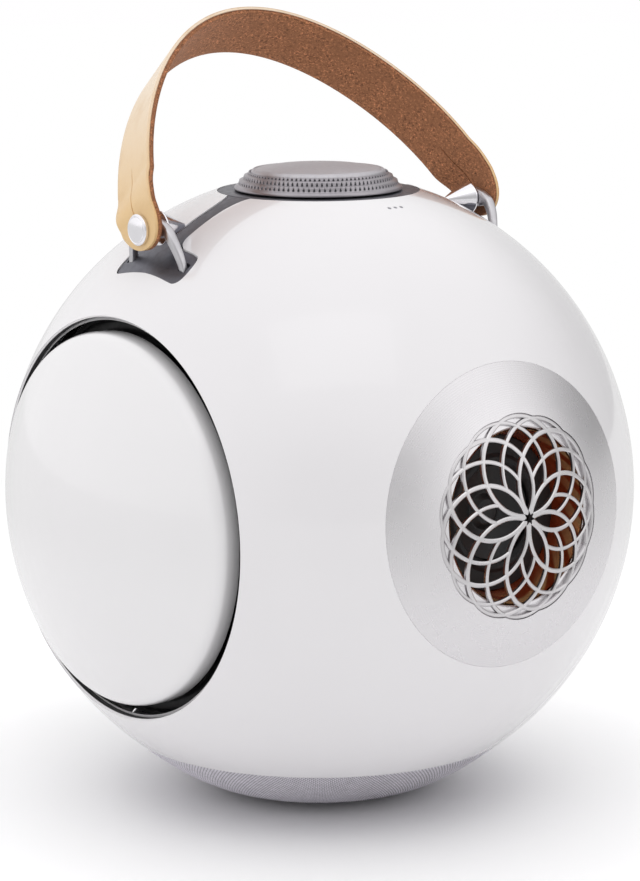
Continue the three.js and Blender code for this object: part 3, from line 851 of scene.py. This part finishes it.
def dial_profile():
    """(radius, height, riser); riser is None or (the riser's number, how far up it)."""
    foot_curve = [(DIAL_R - 0.5, 142.8), (DIAL_R - 0.1, 143.0), (DIAL_R, 143.5), (DIAL_R - 0.25, 144.2),
                  (DIAL_R - 0.9, 144.7), (DIAL_R - 1.7, 144.9)]
    risers = [((37.7, 145.2), (37.2, 147.1)), ((35.45, 147.6), (34.95, 149.3)),
              ((33.25, 149.8), (32.85, 150.9))]
    profile = [(r, h, None) for r, h in foot_curve]
    for number, (low, high) in enumerate(risers):
        low, high = Vector(low), Vector(high)
        for k in range(ROWS_PER_RISER):
            up = k / (ROWS_PER_RISER - 1)
            point = low.lerp(high, up)
            profile.append((point.x, point.y, (number, up)))
        profile.append((high.x - 0.25, high.y + 0.12, None))
    inside = CAP_R + 0.5
    return profile + [(inside + 0.3, 151.05, None), (inside, 150.7, None), (inside, 146, None),
                      (10, 145.4, None), (10, 120, None), (12.6, 120, None), (12.6, 142.8, None)]


def notch(column, riser):
    """How deep a small three-cornered notch is here; every other riser is half a notch round."""
    number, up = riser
    if not NOTCH_FOOT < up < NOTCH_TOP:
        return 0
    phase = (column / COLUMNS_PER_DOT + (0.5 if number % 2 else 0)) % 1
    away = min(phase, 1 - phase) * 2
    return NOTCH_DEPTH * share(3.4 * (0.62 - away - 0.55 * up))


def dial_ring():
    """A stepped ring with a row of fine notches on each riser; faces deep in the notches take a dark
    finish as painted shade.
    """
    columns = DOTS * COLUMNS_PER_DOT
    profile = dial_profile()
    sections, deep = [], set()
    for c in range(columns):
        section = []
        for r, h, riser in profile:
            sunk = notch(c, riser) if riser else 0
            section.append(spoke(c, columns) * (r - sunk) + UP * h)
            # Painted shade: the deepest faces of each notch are marked for the dark finish.
            if sunk > NOTCH_SHADE_FROM:
                deep.add(tuple(round(x, 2) for x in section[-1]))
        sections.append(section)
    piece = add_piece("dial_ring_stepped", tube(sections + sections[:1], cap=False), "dial", "dial_ring",
                      "dial_ring", finish=("dial", "dot"), crease=50)
    home = TO_FRAME.inverted()
    inside = [tuple(round(x, 2) for x in home @ v.co) in deep for v in piece.data.vertices]
    for face in piece.data.polygons:
        face.material_index = int(sum(inside[v] for v in face.vertices) > 1)


def dial_cap():
    profile = [(0, 154.7), (12, 154.4), (22, 153.5), (28.6, 152.4, 1), (29.5, 151.7, 0.2),
               (30.0, 151.8, 0.2), (30.5, 152.4, 0.3), (31.5, 151.5, 0.5), (CAP_R, 150.5, 0.3),
               (CAP_R, 147.8, 0.2), (5, 147.8), (5, 124), (0, 124)]
    add_piece("dial_cap_disc", turned(profile, UP, 200), "dial", "dial_cap", "dial_cap", finish=("cap",))


# ------------------------ bails and studs
def bail_arch():
    """(outer point, inner point) pairs along the arch, from one foot to the other."""
    outer = [((22.2, 108.1), (20.6, 124), (13.8, 132.1)), ((13.8, 132.1), (8.1, 137.0), (0, 137.0))]
    inner = [((18.9, 108.1), (17.2, 121.3), (10.8, 128.7)), ((10.8, 128.7), (6.5, 127.4), (0, 127.2))]
    steps = 14
    pairs = []
    for out, into in zip(outer, inner):
        pairs += [(quadratic(*out, k / steps), quadratic(*into, k / steps)) for k in range(steps)]
    pairs.append((Vector(outer[1][2]), Vector(inner[1][2])))
    mirrored = [(Vector((-o.x, o.y)), Vector((-i.x, i.y))) for o, i in reversed(pairs[:-1])]
    return pairs + mirrored


def squared(value):
    """Rounds a circle's sine or cosine towards that of a soft square."""
    return math.copysign(abs(value) ** 0.55, value)


def at_stud(mesh):
    return moved(mesh, Matrix.Translation((0, 0, STUD_H)))


def bail(name, side):
    """A bowed bar that leans outward and gets thicker towards the top."""
    middle, half_x = sum(BAIL_X) / 2, (BAIL_X[1] - BAIL_X[0]) / 2
    sections = []
    for out, into in bail_arch():
        centre, reach = (out + into) / 2, (out - into) / 2
        up = smooth(centre.y, 112, 131)
        ring = []
        for k in range(24):
            a = 2 * math.pi * k / 24
            u, v = squared(math.cos(a)), squared(math.sin(a))
            across = BAIL_FOOT_X + (middle - BAIL_FOOT_X) * up + half_x * (0.72 + 0.28 * up) * v
            ring.append((side * across, centre.x + reach.x * u, centre.y + reach.y * u))
        sections.append(ring)
    eye = at_stud(rod(2.5, 80, 120, side_way(side), 32))
    add_piece(f"bail_bar_{name}", cut(tube(sections), eye), "bail", f"bail_{name}")


def stud(name, side):
    shaft_end = CONE_BASE_X + 0.4
    profile = [(0, shaft_end), (2.2, shaft_end), (2.2, 102.95), (7.2, 102.95, 0.2),
               (7.2, 104.4, 0.5), (6.3, 105.2, 0.2), (5.9, 104.8, 0.2), (5.6, 105.3, 0.3),
               (0, 105.9)]
    add_piece(f"stud_head_{name}", at_stud(turned(profile, side_way(side), 96)), "polished",
              f"stud_{name}", "handle")


def cone_nut(name, side):
    profile = [(0, CONE_TIP_X), (1.2, CONE_TIP_X + 0.4, 0.8), (4.9, 86, 20), (8, 92.1, 0.6),
               (8, CONE_BASE_X, 0.2), (0, CONE_BASE_X)]
    add_piece(f"cone_nut_turned_{name}", at_stud(turned(profile, side_way(side), 96)), "polished",
              f"cone_nut_{name}", "handle")


# ------------------------ strap
STRAP_END_X, STRAP_HALF_SPAN, STRAP_RISE, STRAP_LEAN = 100.9, 100.35, 86.2, 66.6
STRAP_TWIST = math.radians(41.2)
STRAP_W, STRAP_START, STRAP_STEPS = 31.2, 0.045, 240
TAIL_LENGTH, TIP_TO_STUD = 12.6, 9.6
SLIT_LENGTH, SLIT_HALF_W = 33.0, 0.35


def strap_point(t):
    """(place, rise, half width) on the strap's middle line, t from 0 at the left stud to 1."""
    angle = math.pi * t
    rise = math.sin(angle) ** 1.313
    y, z = STRAP_LEAN * rise ** 1.159, STRAP_RISE * rise - 4
    across = STRAP_HALF_SPAN * math.cos(angle) * (1 + 0.015 * math.sin(math.pi * rise))
    ease = smooth(math.hypot(y, z), 8, 24)
    near = 1 - smooth(math.hypot(y, z), 4, 24)
    end = math.copysign(STRAP_END_X, 0.5 - t)
    place = Vector((-(end + (across - end) * ease), y - 1.5 * near, STUD_H + z))
    return place, rise, STRAP_W / 2 * (1 - 0.08 * near)


def strap_tail(end):
    """The rounded end below a stud, from the strap's first full station down to the tip."""
    place, _, widest = strap_point(STRAP_START)
    place.x *= -end
    raw, last = [], 0.0
    for degrees in (8, 17, 26, 35, 44, 53, 62, 71, 79, 85):
        down = TAIL_LENGTH * math.sin(math.radians(degrees))
        lean = math.radians(13 + 17 * math.exp(-(down + last) / 9))
        way = Vector((0, -math.sin(lean), -math.cos(lean)))
        place = place + way * (down - last)
        raw.append((place, widest * math.cos(math.radians(degrees)), lean, way * end))
        last = down
    return raw


def strap_stations():
    """(place, half width, lateral direction, outward direction) from the left tip to the right one."""
    raw = strap_tail(-1)[::-1]
    for i in range(STRAP_STEPS + 1):
        t = STRAP_START + (1 - 2 * STRAP_START) * i / STRAP_STEPS
        place, rise, half = strap_point(t)
        way = strap_point(t + 0.002)[0] - strap_point(t - 0.002)[0]
        raw.append((place, half, STRAP_TWIST * smooth(rise, 0, 0.244), way))
    raw += strap_tail(1)
    stations = []
    for place, half, twist, way in raw:
        along = way.normalized()
        lateral = Vector((0, math.cos(twist), -math.sin(twist)))
        lateral = (lateral - along * lateral.dot(along)).normalized()
        stations.append((place, half, lateral, along.cross(lateral).normalized()))
    return stations


def strap_section(half, inner, outer, grooved, edge, opened):
    """(across, outward) round a layer; opened is how far the slit is cut here, 0 to 1."""
    depth = min(0.9 * (outer - inner), 1.6) * opened
    flats = [u * (half - edge) for u in (-0.8, -0.6, -0.4, -0.2)]
    limit = 0.15 * half
    slit = [min(max(s * SLIT_HALF_W, -limit), limit) for s in (-2.2, -1, 0, 1, 2.2)]
    across = flats + slit + [-u for u in reversed(flats)]
    rims = [math.radians(a) for a in (75, 50, 25)]
    ring = []
    for face, level, other in ((1, outer, inner), (-1, inner, outer)):
        for k, u in enumerate(across[::face]):
            sunk = depth if k == len(across) // 2 and face == grooved else 0
            ring.append((u, level - face * sunk))
        angles = rims[::face]
        if half > edge:
            turn = [(face * (half - edge + edge * math.cos(a)), face * edge * (1 - math.sin(a)))
                    for a in angles]
            ring += [(u, level - v) for u, v in turn]
            ring += [(u, other + v) for u, v in reversed(turn)]
    return ring


def strap_layer(inner, outer, grooved, edge):
    """One layer of the strap. grooved says which face carries the slits: 1 the outer, -1 the inner."""
    stations = strap_stations()
    along = [0.0]
    for (p, *_), (q, *_) in zip(stations, stations[1:]):
        along.append(along[-1] + (q - p).length)
    sections = []
    for (place, half, lateral, out), distance in zip(stations, along):
        above_stud = min(distance, along[-1] - distance) - TIP_TO_STUD
        opened = share((above_stud - 1) / 2) * share((SLIT_LENGTH - above_stud) / 5)
        section = strap_section(half, inner, outer, grooved, edge, opened)
        sections.append([place + lateral * u + out * v for u, v in section])
    eye = at_stud(rod(2.6, -130, 130, side_way(1), 32))
    return cut(tube(sections), eye)


def paint_edges(mesh):
    """The second material goes on the cut side faces of a strap layer."""
    stations = strap_stations()
    places = np.array([tuple(s[0]) for s in stations])
    laterals = np.array([tuple(s[2]) for s in stations])
    for face in mesh.polygons:
        near = int(np.argmin(((places - np.array(face.center)) ** 2).sum(1)))
        face.material_index = int(abs(float(laterals[near] @ np.array(face.normal))) > 0.5)


def strap():
    leather = strap_layer(0.25, 1.9, 1, 0.45)
    paint_edges(leather)
    lining = strap_layer(-1.9, 0.2, -1, 0.6)
    add_piece("strap_leather_face", leather, "leather", "strap_leather", "handle",
              finish=("leather", "edge"), crease=60)
    add_piece("strap_suede_lining", lining, "suede", "strap_lining", "handle", crease=60)


# ------------------------ rear
STAND_BACK = Matrix(((-1, 0, 0), (0, 0, 1), (0, 1, 0)))


def stadium(half_x, half_z, steps=24):
    flat = half_x - half_z
    ends = [(flat, -math.pi / 2), (-flat, math.pi / 2)]
    return [(x + half_z * math.cos(a + math.pi * k / steps), half_z * math.sin(a + math.pi * k / steps))
            for x, a in ends for k in range(steps + 1)]


def at_panel(mesh, x=0.0):
    return moved(mesh, Matrix.Translation((x, 0, PANEL_H)))


def rear_cap():
    """The round cover, with an opening for the connectors."""
    low = REAR_COVER_Y + 3
    ring = on_ball(BALL_R, low)
    skin = ball_arc(BALL_R, ring - 0.8, 0, 40)
    outside = rounded([(ring - 2.6, low), (ring, low, 0.7), skin[0]]) + skin[1:]
    inside = ball_arc(BALL_R - SHELL_T, 0, ring - 6.5, 20)
    hole = at_panel(prism(stadium(38.4, 17.4), 90, FAR, STAND_BACK))
    cover = cut(lathe(outside + inside, BACK, 200, closed=True), hole)
    add_piece("rear_cap", cover, "shell", "rear_cover", ball_r=BALL_R)


def rear_seal():
    outer = on_ball(BALL_R - 1, REAR_COVER_Y + 1.5)
    inner, low, high = outer - 4.6, REAR_COVER_Y + 0.4, REAR_COVER_Y + 2.6
    profile = [(inner, low), (outer, low, 0.6), (outer, high, 0.6), (inner, high)]
    add_piece("rear_seal_ring", turned(profile, BACK, 200, closed=True), "rubber", "rear_seal")


def connector_tub():
    """The black recess that holds the inlet, the jack and the two keys."""
    tub = prism(stadium(38, 17), PANEL_Y - 2.5, 155, STAND_BACK)
    hollow = prism(stadium(35.8, 14.8), PANEL_Y, FAR, STAND_BACK)
    inlet_hole = prism(rectangle(11.4, -8.4, 8.4, 1), 110, 125, STAND_BACK)
    round_hole = rod(4.4, 110, 125, BACK, 48)
    holes = [at_panel(inlet_hole, INLET_X)] + [at_panel(round_hole, x) for x in (JACK_X, *KEY_X.values())]
    panel = cut(at_panel(cut(tub, hollow)), *holes)
    panel = boolean(panel, ball(BALL_R - 0.2, 7), "INTERSECT")
    add_piece("connector_tub", panel, "plastic", "rear_panel")


def inlet():
    block = prism(rectangle(11, -8, 8, 1), 100, PANEL_Y + 0.8, STAND_BACK)
    socket = prism(stadium(8, 4.4), 108, 130, STAND_BACK)
    pin = turned([(0, 104), (1.2, 104), (1.2, 117, 0.8), (0, 117)], BACK, 24)
    pins = [moved(pin, Matrix.Translation((x, 0, 0))) for x in (-3.4, 3.4)]
    add_piece("inlet_block", at_panel(unite(cut(block, socket), *pins), INLET_X), "plastic",
              "mains_inlet")


def jack():
    face = PANEL_Y + 0.8
    barrel = lathe(rounded([(1.8, 108), (1.8, face, 0.3), (4, face, 0.4), (4, 104), (0, 104), (0, 108)]),
                   BACK, 48, closed=True)
    add_piece("jack_barrel", at_panel(barrel, JACK_X), "steel", "audio_jack")


def keys():
    for name, x in KEY_X.items():
        key = turned([(0, 114), (4, 114), (4, PANEL_Y + 1.6, 0.6), (2.6, PANEL_Y + 1.5, 0.4),
                      (0, PANEL_Y + 1.1)], BACK, 48)
        add_piece(f"{name}_key", at_panel(key, x), "button", f"{name}_button", f"{name}_button")


CARRIED = {
    "basket": ["core_chassis", "front_basket", "woofer_basket_left", "woofer_basket_right"],
    "magnet": ["front_magnet", "woofer_magnet_left", "woofer_magnet_right"],
    "coil": ["front_coil", "woofer_coil_left", "woofer_coil_right"],
    "plastic": ["power_supply", "encoder_body", "base_plate"],
    "steel": ["base_screw_1", "base_screw_2", "base_screw_3"],
    "board": ["main_board"],
}


def carried_nodes():
    """The CAD nodes inside keep their shape and only get their material."""
    for finish, nodes in CARRIED.items():
        for node in nodes:
            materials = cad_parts[node].data.materials
            materials.clear()
            materials.append(FINISH[finish])


# ------------------------ studio
def camera():
    azimuth, elevation, roll = (math.radians(a) for a in (-38.34, 11.85, -0.19))
    distance, aim_up, aim_right = 1.5104, 0.0215, 0.0003
    outward = Vector((math.sin(azimuth) * math.cos(elevation), -math.cos(azimuth) * math.cos(elevation),
                      math.sin(elevation)))
    level = Vector((math.cos(azimuth), math.sin(azimuth), 0))
    over = level.cross(-outward)
    right = level * math.cos(roll) + over * math.sin(roll)
    up = over * math.cos(roll) - level * math.sin(roll)
    place = CENTRE + outward * distance
    target = CENTRE + up * aim_up + right * aim_right
    back = (place - target).normalized()
    right = (right - back * right.dot(back)).normalized()
    turn = Matrix((right, back.cross(right), back)).transposed()
    data = bpy.data.cameras.new("camera")
    data.lens, data.sensor_width = 128.8, 36
    data.clip_start, data.clip_end = 0.05, 50
    cam = placed("camera", data)
    cam.matrix_world = Matrix.Translation(place) @ turn.to_4x4()
    bpy.context.scene.camera = cam


def floor_finish():
    """Pale near the speaker, with a little lift, fading into the backdrop's white further out."""
    material = bpy.data.materials.new("floor_pale")
    material.use_nodes = True
    g = Graph(material.node_tree)
    shader = g.tree.nodes["Principled BSDF"]
    shader.inputs["Base Color"].default_value = (0.93, 0.93, 0.935, 1)
    shader.inputs["Roughness"].default_value = 0.5
    seen = g.add("ShaderNodeLightPath").outputs["Is Camera Ray"]
    length = g.add("ShaderNodeVectorMath", operation="LENGTH")
    away = g.feed(length, (0,), (g.add("ShaderNodeTexCoord").outputs["Object"],))["Value"]
    glow = g.emission(g.eased(seen, 0.78, 1.0))
    lift = g.emission(g.maths("MULTIPLY", g.eased(away, 0.0, 0.22, 0.05, 0.3), seen))
    near = g.feed(g.add("ShaderNodeAddShader"), (0, 1), (shader.outputs["BSDF"], lift))["Shader"]
    fade = g.eased(away, 0.0, 1.0, 0.16, 0.75)
    mix = g.feed(g.add("ShaderNodeMixShader"), ("Fac", 1, 2), (fade, near, glow))["Shader"]
    g.link(mix, g.tree.nodes["Material Output"].inputs["Surface"])
    return material


def floor():
    work = bmesh.new()
    bmesh.ops.create_circle(work, cap_ends=True, segments=96, radius=6.0)
    mesh = written(work)
    mesh.materials.append(floor_finish())
    obj = placed("floor", mesh)


def softbox():
    place, target = Vector((-0.5, -0.9, 1.9)), Vector((0, 0, 0.15))
    data = bpy.data.lights.new("top_softbox", "AREA")
    data.shape, data.size, data.size_y = "RECTANGLE", 1.4, 1.0
    data.energy = 1.5
    lamp = placed("top_softbox", data)
    lamp.location = place
    lamp.rotation_mode = "QUATERNION"
    lamp.rotation_quaternion = (target - place).to_track_quat("-Z", "Y")


# How bright the room is by compass direction, in degrees from the front of the speaker
ROOM = [(-180, 0.95), (-140, 1.1), (-110, 1.2), (-78, 1.0), (-52, 0.55), (-8, 0.4), (14, 1.15), (30, 1.35),
        (50, 1.2), (68, 0.4), (100, 0.25), (130, 0.8), (180, 0.95)]
ROOM_FULL = 1.4  # a ramp's colours end at 1, so the room's levels are kept as shares of this


def room_level(g, split):
    """The room's brightness round the compass, from the direction a ray goes."""
    behind = g.maths("MULTIPLY", split.outputs["Y"], -1)
    turn = g.maths("ARCTAN2", split.outputs["X"], behind)
    names = ("Value", "From Min", "From Max")
    round_room = g.feed(g.add("ShaderNodeMapRange"), names, (turn, -math.pi, math.pi))["Result"]
    ramp = g.add("ShaderNodeValToRGB")
    ramp.color_ramp.interpolation = "B_SPLINE"
    while len(ramp.color_ramp.elements) < len(ROOM):
        ramp.color_ramp.elements.new(0.5)
    for stop, (azimuth, level) in zip(ramp.color_ramp.elements, ROOM):
        stop.position = (azimuth + 180) / 360
        stop.color = (*[level / ROOM_FULL] * 3, 1)
    g.link(round_room, ramp.inputs["Fac"])
    return g.maths("MULTIPLY", ramp.outputs["Color"], ROOM_FULL)


def room():
    """A white room: bright overhead and to the front right, darker behind the camera and far right."""
    world = bpy.data.worlds.new("studio")
    bpy.context.scene.world = world
    world.use_nodes = True
    g = Graph(world.node_tree)
    split = g.add("ShaderNodeSeparateXYZ")
    g.link(g.add("ShaderNodeTexCoord").outputs["Generated"], split.inputs["Vector"])
    above = g.between(g.eased(split.outputs["Z"], 0, 1, 0.2, 0.8), room_level(g, split), 1.12)
    backdrop = g.between(g.add("ShaderNodeLightPath").outputs["Is Camera Ray"], above, 1.0)
    sky = g.tree.nodes["Background"]
    g.link(backdrop, sky.inputs["Strength"])
    sky.inputs["Color"].default_value = (1.0, 0.995, 1.0, 1)
    bpy.context.scene.view_settings.view_transform = "Standard"


for build in (camera, room, softbox, floor, shell, status_lights, top_trim, base_skin, foot, bezel, grille,
              horn, front_roll, front_cone):
    build()
for side_name, side_sign in SIDES.items():
    for build in (dome, surround, bail, stud, cone_nut):
        build(side_name, side_sign)
for build in (dial_ring, dial_cap, strap, rear_cap, rear_seal, connector_tub, inlet, jack, keys,
              carried_nodes):
    build()
